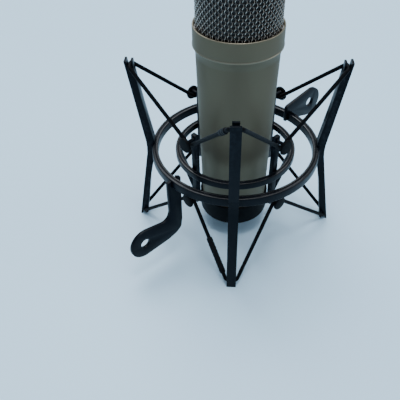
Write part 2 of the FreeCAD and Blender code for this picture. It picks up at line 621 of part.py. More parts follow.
# saddle: a block hollowed to the housing's curve, on a round foot
block = Part.makeBox(18.0, 2 * D["saddle_half"], 14.6, Vector(-9.0, -D["saddle_half"], D["deck_top"] + 2.2))
foot = Part.makeCylinder(13.0, 2.2, Vector(0, 0, D["deck_top"]))
seat = Part.makeCylinder(D["capsule_rad"] + 0.02, 2 * D["capsule_half"], Vector(0, -D["capsule_half"], D["capsule_height"]), Vector(0, 1, 0))
room = Part.makeCylinder(D["capsule_rad"] + 0.4, 30.0, Vector(0, -15.0, D["capsule_height"]), Vector(0, 1, 0))
bridge = block.cut(seat).cut(room.cut(Part.makeBox(60, 2 * D["capsule_half"], 60, Vector(-30, -D["capsule_half"], D["capsule_height"] - 30))))
add_shape("capsule_saddle", foot.fuse(bridge).removeSplitter())

# ---------------------------------------------------------------- inside the body
body = new_body("deck_plate")
deck = slab(body, (lambda s: (draw_circle(s, "0", "0", "deck_rad"), s)[1])(new_sketch(body, "outline", "XY_Plane")), "deck_top-deck_bottom", False)
body.Placement = Placement(Vector(0, 0, D["deck_bottom"]), Rotation())
body.setExpression("Placement.Base.z", "Sizes.deck_bottom")

for label, turn in (("frame_rail_right", 0.0), ("frame_rail_left", 180.0)):
    body = new_body(label, turn)
    slab(body, draw_outline(new_sketch(body, "side"),
         [("rail_reach", "plug_top"), ("rail_reach+rail_thick", "plug_top"),
          ("rail_reach+rail_thick", "deck_bottom"), ("rail_reach-5", "deck_bottom"),
          ("rail_reach-5", "deck_bottom-1.6"), ("rail_reach", "deck_bottom-1.6")]), "rail_half+rail_half")

screws = []
for x in (-1, 1):
    for y in (-2.2, 2.2):
        at = Vector(x * (D["rail_reach"] - 2.6), y, D["deck_top"])
        screws.append(Part.makeCylinder(1.7, 1.2, at))
add_shape("deck_screws", Part.makeCompound(screws))

board = doc.addObject("Part::Box", "circuit_board")
board.Label = "circuit_board"
board.setExpression("Length", "Sizes.board_half * 2")
board.setExpression("Width", "Sizes.board_thick")
board.setExpression("Height", "Sizes.board_high - Sizes.board_low")
board.setExpression("Placement.Base.x", "-Sizes.board_half")
board.setExpression("Placement.Base.y", "-Sizes.board_thick / 2")
board.setExpression("Placement.Base.z", "Sizes.board_low")
SUBPARTS.append(board)

front = -D["board_thick"] / 2
core = Part.makeBox(22, 10, 18, Vector(-11, front - 10, 52)).cut(Part.makeBox(12, 12, 10, Vector(-6, front - 11, 56)))
add_shape("transformer_core", core)
add_shape("transformer_coil", Part.makeBox(11.9, 13, 9.9, Vector(-5.95, front - 13.0, 56.05)))
cans = [Part.makeCylinder(r, h, Vector(x, front, z), Vector(0, -1, 0))
        for x, z, r, h in ((-9, 84, 4.0, 9), (3, 84, 5.0, 11), (-8, 98, 2.6, 6), (1, 100, 3.2, 7), (10, 100, 2.6, 6), (-4, 114, 4.0, 8))]
add_shape("capacitors", Part.makeCompound(cans))

body = new_body("base_plug")
plug = turned(body, [("socket_rad", "socket_mouth"), ("socket_wall_rad", "socket_mouth"),
                     ("socket_wall_rad", "tube_bottom"), ("plug_rad", "tube_bottom"),
                     ("plug_rad", "plug_top"), ("socket_wall_rad", "plug_top"),
                     ("socket_wall_rad", "socket_end"), ("socket_rad", "socket_end")])

body = new_body("socket_insert")
turned(body, [("0", "insert_low"), ("socket_rad-0.02", "insert_low"),
              ("socket_rad-0.02", "socket_end"), ("0", "socket_end")])
sketch = new_sketch(body, "pin_holes", "XY_Plane")
PINS = []
for degrees in (30.0, 150.0, 270.0):
    t = math.radians(degrees)
    PINS.append((D["pin_reach"] * math.cos(t) if degrees != 270.0 else 0.0, D["pin_reach"] * math.sin(t)))
for x, y in PINS:
    draw_circle(sketch, "0" if x == 0.0 else "%.4f" % x, "%.4f" % y, "pin_rad+0.01")
cut(body, sketch, "80", "pin_cut")

pins = []
for x, y in PINS:
    pin = Part.makeCylinder(D["pin_rad"], 21.5, Vector(x, y, 9.2 + 0.6))
    point = Part.makeCone(0.6, D["pin_rad"], 0.6, Vector(x, y, 9.2))
    pins.append(pin.fuse(point).removeSplitter())
add_shape("socket_pins", Part.makeCompound(pins))

# ---------------------------------------------------------------- check and write
doc.recompute()
faults = []
for item in doc.Objects:
    if "Invalid" in item.State or "Error" in item.State:
        faults.append("%s is %s" % (item.Label, item.State))
for item in SUBPARTS:
    shape = item.Shape
    if shape.isNull() or not shape.isValid() or not shape.Solids:
        faults.append("%s has no valid solid" % item.Label)
if faults:
    raise SystemExit("\n".join(faults))

os.makedirs("parts", exist_ok=True)
for item in SUBPARTS:
    item.Shape.exportStep(os.path.join("parts", item.Label + ".step"))
whole = FreeCAD.BoundBox()
for item in SUBPARTS:
    whole.add(item.Shape.BoundBox)
    print("%-26s solids %2d  volume %10.2f mm3" % (item.Label, len(item.Shape.Solids), item.Shape.Volume))
print("%d sub-parts, box %.2f x %.2f x %.2f mm, x %.2f..%.2f, y %.2f..%.2f, z %.2f..%.2f"
      % (len(SUBPARTS), whole.XLength, whole.YLength, whole.ZLength, whole.XMin, whole.XMax,
         whole.YMin, whole.YMax, whole.ZMin, whole.ZMax))
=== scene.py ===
import math

import bmesh
import bpy
import numpy as np
from mathutils import Matrix, Vector


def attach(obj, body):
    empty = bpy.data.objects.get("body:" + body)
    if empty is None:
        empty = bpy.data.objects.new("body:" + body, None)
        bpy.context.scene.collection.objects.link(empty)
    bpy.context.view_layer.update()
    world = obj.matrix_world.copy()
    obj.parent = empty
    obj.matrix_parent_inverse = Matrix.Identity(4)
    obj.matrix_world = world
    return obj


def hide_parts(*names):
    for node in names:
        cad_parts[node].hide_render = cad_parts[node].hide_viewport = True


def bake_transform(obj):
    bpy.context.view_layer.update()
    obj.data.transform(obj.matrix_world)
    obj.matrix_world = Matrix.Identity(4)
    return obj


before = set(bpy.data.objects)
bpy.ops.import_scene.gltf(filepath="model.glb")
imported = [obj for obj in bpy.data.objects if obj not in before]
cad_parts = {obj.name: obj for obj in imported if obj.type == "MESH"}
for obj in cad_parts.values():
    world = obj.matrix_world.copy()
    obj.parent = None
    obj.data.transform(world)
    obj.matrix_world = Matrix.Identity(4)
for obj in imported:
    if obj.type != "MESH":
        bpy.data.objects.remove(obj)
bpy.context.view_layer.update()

MM = 0.001
TAU = 2.0 * math.pi

# ------------------------------------------------------------------ camera
scene = bpy.context.scene
cam_data = bpy.data.cameras.new("camera")
cam = bpy.data.objects.new("camera", cam_data)
scene.collection.objects.link(cam)
scene.camera = cam
CAM_AT = Vector((-1.2, -282.3, 281.5)) * MM
yaw, pitch, roll = -0.0862, 0.7594, -0.0318
fwd = Vector((math.sin(yaw) * math.cos(pitch), math.cos(yaw) * math.cos(pitch), -math.sin(pitch)))
right = Vector((math.cos(yaw), -math.sin(yaw), 0.0))
up = right.cross(fwd)
cam_x = right * math.cos(roll) + up * math.sin(roll)
cam_y = up * math.cos(roll) - right * math.sin(roll)
basis = Matrix((cam_x, cam_y, -fwd)).transposed().to_4x4()
basis.translation = CAM_AT
cam.matrix_world = basis
cam_data.sensor_width = 36.0
cam_data.lens = 506.4 * 36.0 / 400.0
cam_data.clip_start = 0.01
cam_data.clip_end = 50.0

# ------------------------------------------------------------------ material helpers


class Mat:
    """A small builder around one node material."""

    def __init__(self, name):
        self.m = bpy.data.materials.new(name)
        self.m.use_nodes = True
        self.t = self.m.node_tree
        self.t.nodes.clear()
        self.out = self.add("ShaderNodeOutputMaterial")
        self.bsdf = self.add("ShaderNodeBsdfPrincipled")
        self.link(self.bsdf.outputs[0], self.out.inputs["Surface"])
        self.coord = self.add("ShaderNodeTexCoord").outputs["Object"]

    def add(self, kind, **values):
        node = self.t.nodes.new(kind)
        for key, value in values.items():
            setattr(node, key, value)
        return node

    def link(self, a, b):
        self.t.links.new(a, b)

    def noise(self, scale, detail=3.0, rough=0.5, distort=0.0, stretch=None):
        node = self.add("ShaderNodeTexNoise")
        node.inputs["Scale"].default_value = scale
        node.inputs["Detail"].default_value = detail
        node.inputs["Roughness"].default_value = rough
        node.inputs["Distortion"].default_value = distort
        source = self.coord
        if stretch:
            mapping = self.add("ShaderNodeMapping")
            mapping.inputs["Scale"].default_value = stretch
            self.link(self.coord, mapping.inputs["Vector"])
            source = mapping.outputs["Vector"]
        self.link(source, node.inputs["Vector"])
        return node.outputs["Fac"]

    def ramp(self, fac, stops):
        node = self.add("ShaderNodeValToRGB")
        els = node.color_ramp.elements
        while len(els) < len(stops):
            els.new(0.5)
        for el, (pos, col) in zip(els, stops):
            el.position = pos
            el.color = (*col, 1.0) if len(col) == 3 else col
        self.link(fac, node.inputs["Fac"])
        return node.outputs["Color"]

    def grey(self, fac, low, high, a=0.3, b=0.7):
        node = self.add("ShaderNodeMapRange")
        node.inputs["From Min"].default_value = a
        node.inputs["From Max"].default_value = b
        node.inputs["To Min"].default_value = low
        node.inputs["To Max"].default_value = high
        self.link(fac, node.inputs["Value"])
        return node.outputs["Result"]

    def math(self, op, a, b=None):
        node = self.add("ShaderNodeMath", operation=op)
        for i, v in enumerate((a, b)):
            if v is None:
                continue
            if isinstance(v, (int, float)):
                node.inputs[i].default_value = v
            else:
                self.link(v, node.inputs[i])
        return node.outputs[0]

    def mix(self, fac, a, b):
        node = self.add("ShaderNodeMix", data_type="RGBA")
        self.link(fac, node.inputs["Factor"])
        for socket, v in (("A", a), ("B", b)):
            target = [s for s in node.inputs if s.name == socket and s.type == "RGBA"][0]
            if isinstance(v, tuple):
                target.default_value = (*v, 1.0)
            else:
                self.link(v, target)
        return [s for s in node.outputs if s.type == "RGBA"][0]

    def bump(self, height, distance, strength=1.0, below=None):
        node = self.add("ShaderNodeBump")
        node.inputs["Distance"].default_value = distance
        node.inputs["Strength"].default_value = strength
        self.link(height, node.inputs["Height"])
        if below is not None:
            self.link(below, node.inputs["Normal"])
        return node.outputs["Normal"]

    def set(self, **values):
        names = {"base": "Base Color", "rough": "Roughness", "metal": "Metallic", "normal": "Normal",
                 "spec": "Specular IOR Level", "coat": "Coat Weight", "coat_rough": "Coat Roughness",
                 "sheen": "Sheen Weight", "sheen_rough": "Sheen Roughness", "ior": "IOR",
                 "aniso": "Anisotropic"}
        for key, value in values.items():
            socket = self.bsdf.inputs[names[key]]
            if isinstance(value, tuple):
                socket.default_value = (*value, 1.0)
            elif isinstance(value, (int, float)):
                socket.default_value = value
            else:
                self.link(value, socket)
        return self


def black_plastic(name, base=(0.0010, 0.0021, 0.0045), rough=0.3, grain=1.0, gloss=0.085):
    m = Mat(name)
    cloud = m.noise(35.0, 4.0)
    fine = m.noise(2600.0, 2.0, 0.6)
    lighter = tuple(c * 1.6 + 0.0008 for c in base)
    colour = m.ramp(cloud, [(0.3, base), (0.75, lighter)])
    # Pale bluish colour on sharp convex edges: partly edge wear, partly a painted highlight along the edge lines.
    edge = m.add("ShaderNodeNewGeometry").outputs["Pointiness"]
    edge_wear_and_highlight = m.grey(edge, 0.0, 1.0, 0.53, 0.66)
    scuff_and_painted_highlight = m.math("MULTIPLY", edge_wear_and_highlight, m.grey(m.noise(420.0, 3.0), 0.0, 0.55, 0.42, 0.7))
    colour = m.mix(scuff_and_painted_highlight, colour, (0.036, 0.045, 0.060))
    r = m.math("ADD", m.grey(cloud, rough - 0.05, rough + 0.07), m.grey(fine, -0.02, 0.03))
    m.set(base=colour, rough=r, spec=gloss,
          normal=m.bump(fine, 0.00006 * grain, 0.55, m.bump(m.noise(240.0, 3.0), 0.00006, 0.35)))
    return m.m


def satin_metal(name, base, rough=0.34, metal=0.85, tint=0.06, brushed=False):
    m = Mat(name)
    cloud = m.noise(22.0, 4.0, 0.55)
    fine = m.noise(3200.0, 2.0, 0.65)
    low = tuple(c * (1 - tint) for c in base)
    high = tuple(min(1.0, c * (1 + tint)) for c in base)
    colour = m.ramp(cloud, [(0.3, low), (0.7, high)])
    r = m.math("ADD", m.grey(cloud, rough - 0.03, rough + 0.05), m.grey(fine, -0.03, 0.03))
    normal = m.bump(fine, 0.00004, 0.5)
    if brushed:
        streak = m.noise(60.0, 4.0, 0.6, stretch=(1.0, 1.0, 55.0))
        normal = m.bump(streak, 0.00003, 0.35, normal)
    m.set(base=colour, rough=r, metal=metal, normal=normal)
    return m.m


MAT = {}


def build_materials():
    MAT["frame"] = black_plastic("mount_plastic")
    MAT["rim"] = black_plastic("mount_plastic_rim", (0.0012, 0.0024, 0.0050), 0.24, 0.8, 0.34)
    MAT["lug"] = black_plastic("lug_enamel", (0.0016, 0.0028, 0.0054), 0.32, 0.8)
    MAT["cup"] = black_plastic("cup_plastic", (0.0006, 0.0011, 0.0017), 0.6)
    MAT["champagne"] = satin_metal("champagne_finish", (0.152, 0.131, 0.087), 0.6, 0.76, 0.04)
    # Brighter metal for the collar's bead and top rim: a painted highlight line.
    MAT["edge"] = satin_metal("collar_edge_painted_highlight", (0.25, 0.225, 0.165), 0.36, 0.92, 0.04)
    MAT["wire"] = satin_metal("grille_wire", (0.395, 0.355, 0.31), 0.24, 1.0, 0.12)
    # Cross wires darker than the warp wires: painted shade where the warp wires shadow them.
    MAT["weft"] = satin_metal("grille_cross_wire_painted_shade", (0.085, 0.084, 0.083), 0.34, 1.0, 0.08)
    MAT["steel"] = satin_metal("plain_steel", (0.55, 0.55, 0.55), 0.3, 1.0, 0.08, True)
    MAT["brass"] = satin_metal("turned_brass", (0.78, 0.58, 0.27), 0.28, 1.0, 0.08, True)
    MAT["gold"] = satin_metal("gold_film", (0.95, 0.75, 0.36), 0.16, 1.0, 0.05)
    MAT["cast"] = satin_metal("die_casting", (0.46, 0.46, 0.45), 0.45, 0.9, 0.12)
    MAT["pin"] = satin_metal("plated_pin", (0.82, 0.81, 0.78), 0.18, 1.0, 0.04)
    MAT["core"] = satin_metal("core_laminations", (0.20, 0.20, 0.21), 0.5, 0.8, 0.25, True)

    # fine mesh behind the woven wires: a tight lattice of tiny round wires; its near-black colour is painted shade from
    # inside the grille
    m = Mat("fine_mesh_painted_shade")
    sep = m.add("ShaderNodeSeparateXYZ")
    m.link(m.coord, sep.inputs[0])
    angle = m.math("ARCTAN2", sep.outputs["Y"], sep.outputs["X"])
    a = m.math("ABSOLUTE", m.math("SINE", m.math("MULTIPLY", angle, 110.0)))
    b = m.math("ABSOLUTE", m.math("SINE", m.math("MULTIPLY", sep.outputs["Z"], math.pi / 0.0007)))
    lattice = m.math("MAXIMUM", a, b)
    m.set(base=m.ramp(lattice, [(0.55, (0.0008, 0.0008, 0.0008)), (0.98, (0.012, 0.012, 0.0115))]),
          rough=m.grey(m.noise(300.0), 0.45, 0.65), metal=0.5, normal=m.bump(lattice, 0.0001, 0.7))
    MAT["fine"] = m.m

    # elastic cord: a fine braided sheath
    m = Mat("elastic_sheath")
    braid = m.add("ShaderNodeTexWave", wave_type="BANDS", bands_direction="DIAGONAL")
    braid.inputs["Scale"].default_value = 420.0
    braid.inputs["Distortion"].default_value = 2.0
    braid.inputs["Detail"].default_value = 1.0
    m.link(m.coord, braid.inputs["Vector"])
    fuzz = m.noise(1800.0, 3.0, 0.7)
    thread = m.math("MULTIPLY", braid.outputs["Fac"], fuzz)
    m.set(base=m.ramp(thread, [(0.1, (0.0009, 0.0013, 0.0023)), (0.7, (0.0032, 0.0040, 0.0060))]),
          rough=m.grey(fuzz, 0.48, 0.68), sheen=0.006, sheen_rough=0.5, spec=0.08,
          normal=m.bump(thread, 0.00012, 0.6))
    MAT["cord"] = m.m

    m = Mat("crimped_sleeve")
    ribs = m.noise(700.0, 3.0, 0.6)
    m.set(base=m.ramp(ribs, [(0.3, (0.0012, 0.0017, 0.0030)), (0.75, (0.0040, 0.0050, 0.0075))]),
          rough=m.grey(ribs, 0.4, 0.58), spec=0.12, normal=m.bump(ribs, 0.0001, 0.5))
    MAT["sleeve"] = m.m

    m = Mat("felt")
    fibre = m.noise(1500.0, 6.0, 0.75, 0.6)
    m.set(base=m.ramp(fibre, [(0.3, (0.02, 0.02, 0.022)), (0.75, (0.07, 0.07, 0.072))]),
          rough=m.grey(fibre, 0.85, 0.98), sheen=0.4, sheen_rough=0.6, normal=m.bump(fibre, 0.0002, 0.8))
    MAT["felt"] = m.m

    for key, name, low, high, rough in (("white", "ivory_plastic", (0.62, 0.60, 0.53), (0.74, 0.72, 0.66), 0.42),
                                        ("tape", "coil_tape", (0.52, 0.36, 0.08), (0.72, 0.52, 0.16), 0.4),
                                        ("can", "can_sleeve", (0.02, 0.025, 0.05), (0.04, 0.05, 0.085), 0.3),
                                        ("insert", "insert_plastic", (0.012, 0.012, 0.013), (0.026, 0.026, 0.028), 0.45)):
        m = Mat(name)
        cloud, fine = m.noise(90.0, 4.0), m.noise(2200.0, 2.0)
        m.set(base=m.ramp(cloud, [(0.3, low), (0.7, high)]), rough=m.grey(cloud, rough - 0.05, rough + 0.08),
              normal=m.bump(fine, 0.00005, 0.4))
        MAT[key] = m.m

    m = Mat("resin_board")
    weave = m.noise(900.0, 2.0)
    tracks = m.add("ShaderNodeTexBrick")
    tracks.inputs["Scale"].default_value = 160.0
    tracks.inputs["Mortar Size"].default_value = 0.035
    tracks.inputs["Color1"].default_value = (0.008, 0.075, 0.028, 1)
    tracks.inputs["Color2"].default_value = (0.010, 0.095, 0.034, 1)
    tracks.inputs["Mortar"].default_value = (0.03, 0.17, 0.07, 1)
    m.link(m.coord, tracks.inputs["Vector"])
    m.set(base=tracks.outputs["Color"], rough=m.grey(weave, 0.22, 0.36), coat=0.3, coat_rough=0.2,
          normal=m.bump(weave, 0.00004, 0.4))
    MAT["board"] = m.m


build_materials()

# ------------------------------------------------------------------ mesh helpers


def to_object(name, verts, faces, material, smooth=True, angle=None):
    mesh = bpy.data.meshes.new(name)
    mesh.from_pydata([tuple(v) for v in verts], [], [tuple(int(i) for i in f) for f in faces])
    mesh.validate()
    mesh.update()
    obj = bpy.data.objects.new(name, mesh)
    scene.collection.objects.link(obj)
    mesh.materials.append(material)
    bm = bmesh.new()
    bm.from_mesh(mesh)
    bmesh.ops.recalc_face_normals(bm, faces=bm.faces)
    bm.to_mesh(mesh)
    bm.free()
    mesh.polygons.foreach_set("use_smooth", [smooth] * len(mesh.polygons))
    if angle is not None:
        mesh.set_sharp_from_angle(angle=math.radians(angle))
    return obj


def rounded_profile(points, radii, steps=5, closed=True):
    """Polyline (r, z) with each corner replaced by a tangent arc of its own radius."""
    out, n = [], len(points)
    for i in range(n):
        p = np.array(points[i], float)
        rad = radii[i] if isinstance(radii, (list, tuple)) else radii
        if (not closed and i in (0, n - 1)) or rad <= 0:
            out.append(tuple(p))
            continue
        a = np.array(points[i - 1], float) - p
        b = np.array(points[(i + 1) % n], float) - p
        la, lb = np.linalg.norm(a), np.linalg.norm(b)
        a, b = a / la, b / lb
        cosv = float(np.clip(a @ b, -1, 1))
        ang = math.acos(cosv)
        if ang > math.pi - 1e-3:
            out.append(tuple(p))
            continue
        back = min(rad / math.tan(ang / 2), 0.49 * la, 0.49 * lb)
        rr = back * math.tan(ang / 2)
        mid = (a + b) / np.linalg.norm(a + b)
        c = p + mid * rr / math.sin(ang / 2)
        s, e = p + a * back - c, p + b * back - c
        t0, t1 = math.atan2(s[1], s[0]), math.atan2(e[1], e[0])
        d = (t1 - t0 + math.pi) % TAU - math.pi
        for k in range(steps + 1):
            t = t0 + d * k / steps
            out.append((c[0] + rr * math.cos(t), c[1] + rr * math.sin(t)))
    return out


def lathe(name, profile, material, segs=160, angle=40, axis_z=True):
    """Closed profile of (r, z) in millimetres turned about Z. Points at r = 0 become poles."""
    verts, rows = [], []
    for r, z in profile:
        if r < 1e-6:
            rows.append([len(verts)])
            verts.append((0, 0, z * MM))
        else:
            rows.append(list(range(len(verts), len(verts) + segs)))
            for k in range(segs):
                t = TAU * k / segs
                verts.append((r * math.cos(t) * MM, r * math.sin(t) * MM, z * MM))
    faces = []
    n = len(rows)
    for i in range(n):
        a, b = rows[i], rows[(i + 1) % n]
        if len(a) == 1 and len(b) == 1:
            continue
        for k in range(segs):
            k2 = (k + 1) % segs
            if len(a) == 1:
                faces.append((a[0], b[k2], b[k]))
            elif len(b) == 1:
                faces.append((a[k], a[k2], b[0]))
            else:
                faces.append((a[k], a[k2], b[k2], b[k]))
    return to_object(name, verts, faces, material, True, angle)


def frames_along(pts, closed):
    """Parallel-transported normals along a polyline."""
    n = len(pts)
    if closed:
        tan = np.roll(pts, -1, 0) - np.roll(pts, 1, 0)
    else:
        tan = np.gradient(pts, axis=0)
    tan /= np.linalg.norm(tan, axis=1)[:, None]
    start = np.array([0.0, 0.0, 1.0])
    if abs(tan[0] @ start) > 0.9:
        start = np.array([1.0, 0.0, 0.0])
    nor = np.zeros_like(pts)
    v = start - tan[0] * (start @ tan[0])
    nor[0] = v / np.linalg.norm(v)
    for i in range(1, n):
        v = nor[i - 1] - tan[i] * (nor[i - 1] @ tan[i])
        nor[i] = v / np.linalg.norm(v)
    if closed:
        v = nor[-1] - tan[0] * (nor[-1] @ tan[0])
        v /= np.linalg.norm(v)
        twist = math.atan2(np.cross(v, nor[0]) @ tan[0], v @ nor[0])
        for i in range(n):
            w = twist * i / n
            nor[i] = nor[i] * math.cos(w) + np.cross(tan[i], nor[i]) * math.sin(w)
    return tan, nor


def sweep_arrays(pts, radius, sides, closed=False, caps=True):
    pts = np.asarray(pts, float)
    n = len(pts)
    tan, nor = frames_along(pts, closed)
    bi = np.cross(tan, nor)
    t = np.arange(sides) * TAU / sides
    rad = np.broadcast_to(np.asarray(radius, float), (n,))
    ring = (nor[:, None, :] * np.cos(t)[None, :, None] + bi[:, None, :] * np.sin(t)[None, :, None]) * rad[:, None, None]
    verts = (pts[:, None, :] + ring).reshape(-1, 3)
    rows = n if closed else n - 1
    i = np.arange(rows)[:, None]
    k = np.arange(sides)[None, :]
    k2 = (k + 1) % sides
    j = (i + 1) % n
    faces = np.stack([i * sides + k, i * sides + k2, j * sides + k2, j * sides + k], -1).reshape(-1, 4)
    faces = faces.tolist()
    if caps and not closed:
        faces.append(list(range(sides))[::-1])
        faces.append([(n - 1) * sides + q for q in range(sides)])
    return verts, faces


def merge(parts):
    verts, faces, base = [], [], 0
    for v, f in parts:
        verts.append(np.asarray(v, float))
        faces.extend([[base + i for i in face] for face in f])
        base += len(v)
    return np.concatenate(verts), faces


def prism(name, outline, half, material, bevel=0.5, segments=3, turn=0.0, hole=None, cuts=(), angle=35):
    """Outline (r, z) in the radial plane, given thickness, edges bevelled, turned about Z."""
    bm = bmesh.new()
    near = [bm.verts.new((r * MM, -half * MM, z * MM)) for r, z in outline]
    face = bm.faces.new(near)
    out = bmesh.ops.extrude_face_region(bm, geom=[face])
    bmesh.ops.translate(bm, vec=(0, 2 * half * MM, 0), verts=[v for v in out["geom"] if isinstance(v, bmesh.types.BMVert)])
    bmesh.ops.recalc_face_normals(bm, faces=bm.faces)
    mesh = bpy.data.meshes.new(name)
    bm.to_mesh(mesh)
    bm.free()
    obj = bpy.data.objects.new(name, mesh)
    scene.collection.objects.link(obj)
    helpers = []
    if hole:
        r0, z0, rad = hole
        bpy.ops.mesh.primitive_cylinder_add(vertices=48, radius=rad * MM, depth=0.05,
                                            location=(r0 * MM, 0, z0 * MM), rotation=(math.pi / 2, 0, 0))
        helpers.append(bpy.context.object)
    for lo, hi in cuts:
        cm = bpy.data.meshes.new("cutter")
        cb = bmesh.new()
        bmesh.ops.create_cube(cb, size=1.0)
        for v in cb.verts:
            v.co = Vector([(lo[q] + hi[q]) / 2 + v.co[q] * (hi[q] - lo[q]) for q in range(3)]) * MM
        cb.to_mesh(cm)
        cb.free()
        co = bpy.data.objects.new("cutter", cm)
        scene.collection.objects.link(co)
        helpers.append(co)
    for h in helpers:
        mod = obj.modifiers.new("cut", "BOOLEAN")
        mod.operation = "DIFFERENCE"
        mod.solver = "EXACT"
        mod.object = h
    if bevel > 0:
        mod = obj.modifiers.new("bevel", "BEVEL")
        mod.width = bevel * MM
        mod.segments = segments
        mod.limit_method = "ANGLE"
        mod.angle_limit = math.radians(28)
        mod.harden_normals = False
    bake(obj)
    for h in helpers:
        bpy.data.objects.remove(h, do_unlink=True)
    obj.data.materials.append(material)
    obj.data.transform(Matrix.Rotation(math.radians(turn), 4, "Z"))
    obj.data.polygons.foreach_set("use_smooth", [True] * len(obj.data.polygons))
    obj.data.set_sharp_from_angle(angle=math.radians(angle))
    return obj


def bake(obj):
    """Apply the object's modifiers to a mesh of its own."""
    bpy.context.view_layer.update()
    dg = bpy.context.evaluated_depsgraph_get()
    mesh = bpy.data.meshes.new_from_object(obj.evaluated_get(dg))
    obj.modifiers.clear()
    obj.data = mesh
    return obj


def joined(name, objs):
    """One object from several."""
    bm = bmesh.new()
    mats = []
    for o in objs:
        mesh = o.data.copy()
        mesh.transform(o.matrix_world)
        for m in o.data.materials:
            if m not in mats:
                mats.append(m)
        bm.from_mesh(mesh)
        bpy.data.meshes.remove(mesh)
    mesh = bpy.data.meshes.new(name)
    bm.to_mesh(mesh)
    bm.free()
    out = bpy.data.objects.new(name, mesh)
    scene.collection.objects.link(out)
    for m in mats:
        mesh.materials.append(m)
    for o in objs:
        bpy.data.objects.remove(o, do_unlink=True)
    mesh.set_sharp_from_angle(angle=math.radians(38))
    return out


def place(obj, body, slot, *nodes):
    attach(obj, body)
    if nodes:
        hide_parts(*nodes)
    return obj


# ------------------------------------------------------------------ outer frame
def channelled(inner, outer, low, top, corner):
    """Ring section with a shallow channel along its top face."""
    mid = (inner + outer) / 2.0
    return rounded_profile([(inner, low), (outer, low), (outer, top), (mid + 0.62, top), (mid + 0.5, top - 0.5),
                            (mid - 0.5, top - 0.5), (mid - 0.62, top), (inner, top)],
                           [corner, corner, corner, 0.1, 0.12, 0.12, 0.1, corner], 5)


def polished_top(ring, top):
    """The moulded top edge of a ring is smoother than its sides."""
    ring.data.materials.append(MAT["rim"])
    for face in ring.data.polygons:
        if face.normal.z > 0.55 and face.center.z > (top - 0.45) * MM:
            face.material_index = 1
    return ring


place(polished_top(lathe("frame_ring", channelled(53.2, 57.5, 61.8, 68.3, 0.9), MAT["frame"], 192), 68.3),
      "mount_frame", "mount_black", "outer_ring")


def slot_points(mid_r, end_z, lean, upward, half=1.4, depth=5.25, steps=8):
    """Outline of a cord notch: down one wall, round its floor and up the other."""
    run = np.array([-lean, -1.0 if upward else 1.0])
    run /= np.linalg.norm(run)
    side = np.array([-run[1], run[0]])
    mouth = np.array([mid_r, end_z])
    floor = mouth + run * (depth - half)
    pts = []

    def at_end(p):
        t = (end_z - p[1]) / run[1]
        return p + run * t
    pts.append(tuple(at_end(floor + side * half)))
    for k in range(steps + 1):
        t = math.pi * k / steps
        pts.append(tuple(floor + side * half * math.cos(t) + run * half * math.sin(t)))
    pts.append(tuple(at_end(floor - side * half)))
    return pts


def arm_outline():
    lean_high = (69.75 - 61.3) / (130.7 - 70.0)
    lean_low = (72.15 - 61.3) / 60.0
    low = slot_points(69.4, 0.0, lean_low, False)
    high = slot_points(67.0, 130.7, lean_high, True)
    if low[0][0] > low[-1][0]:
        low = low[::-1]
    if high[0][0] < high[-1][0]:
        high = high[::-1]
    outer = rounded_profile([(72.15, 0.0), (61.65, 60), (61.3, 64.5), (61.45, 70.0), (69.75, 130.7)], 9.0, 3, closed=False)
    inner = rounded_profile([(64.25, 130.7), (64.1, 125.7), (60.7, 101), (57.6, 82), (55.9, 71.5), (55.5, 68.3)], 7.0, 3, closed=False)
    lower = rounded_profile([(56.6, 61.8), (57.5, 55), (61.4, 36), (66.65, 0.0)], 9.0, 4, closed=False)
    return low + outer + high + inner + [(57.5, 68.3), (57.5, 61.8)] + lower


ARM = arm_outline()
for label, turn in (("right", 0.0), ("back", 90.0), ("left", 180.0), ("front", 270.0)):
    cuts = []
    for s in (-1, 1):
        y = sorted([s * 2.1, s * 9.0])
        cuts.append(((62.0, y[0], 124.6), (66.1, y[1], 133.0)))
        cuts.append(((63.0, y[0], -2.0), (67.6, y[1], 7.4)))
    arm = prism("upright_" + label + "_moulding", ARM, 3.2, MAT["frame"], 0.55, 3, turn, cuts=cuts)
    place(arm, "mount_frame", "mount_black", "upright_" + label)


def lobe(centre, radius, start, end, steps=28):
    t0, t1 = math.atan2(start[1] - centre[1], start[0] - centre[0]), math.atan2(end[1] - centre[1], end[0] - centre[0])
    if t1 < t0:
        t1 += TAU
    return [(centre[0] + radius * math.cos(t0 + (t1 - t0) * k / steps),
             centre[1] + radius * math.sin(t0 + (t1 - t0) * k / steps)) for k in range(steps + 1)]


low_c, r_l = (83.0, 27.4), 11.2
outline = rounded_profile([(49.9, 67.2), (50.7, 30.0), (52.0, 22.5), (56.6, 19.4), (64.0, 17.5), (82.0, 16.245)],
                          [0.8, 8, 5, 6, 10, 0], 5, closed=False)
outline = outline[:-1] + lobe(low_c, r_l, (82.0, 16.245), (81.4, 38.485))
outline += rounded_profile([(81.4, 38.485), (72.0, 36.6), (66.0, 35.4), (62.6, 37.2), (60.7, 41.5), (60.7, 67.0)],
                           [0, 12, 8, 4, 6, 0], 5, closed=False)[1:]
outline += [(57.55, 67.7), (57.55, 61.8), (53.15, 61.8), (53.15, 69.2)]
place(prism("lug_dropped_plate", outline, 1.2, MAT["lug"], 0.35, 3, -135.0, hole=(83.0, 27.4, 3.5)),
      "mount_frame", "lug_black", "lug_dropped")

high_c = (78.0, 67.6)
outline = [(51.3, 62.1), (53.15, 62.1), (53.15, 68.3), (57.6, 68.3), (57.6, 61.8), (60.0, 61.2)]
outline += lobe(high_c, r_l, (73.4, 57.389), (74.8, 78.333))
outline += [(53.0, 74.8), (51.3, 73.6)]
place(prism("lug_level_plate", outline, 1.2, MAT["lug"], 0.35, 3, 45.0, hole=(78.0, 67.6, 3.5)),
      "mount_frame", "lug_black", "lug_level")

# ------------------------------------------------------------------ cradle
place(polished_top(lathe("cradle_hoop", channelled(37.6, 41.2, 61.3, 66.3, 0.9), MAT["frame"], 160), 66.3),
      "cradle", "mount_black", "cradle_ring")


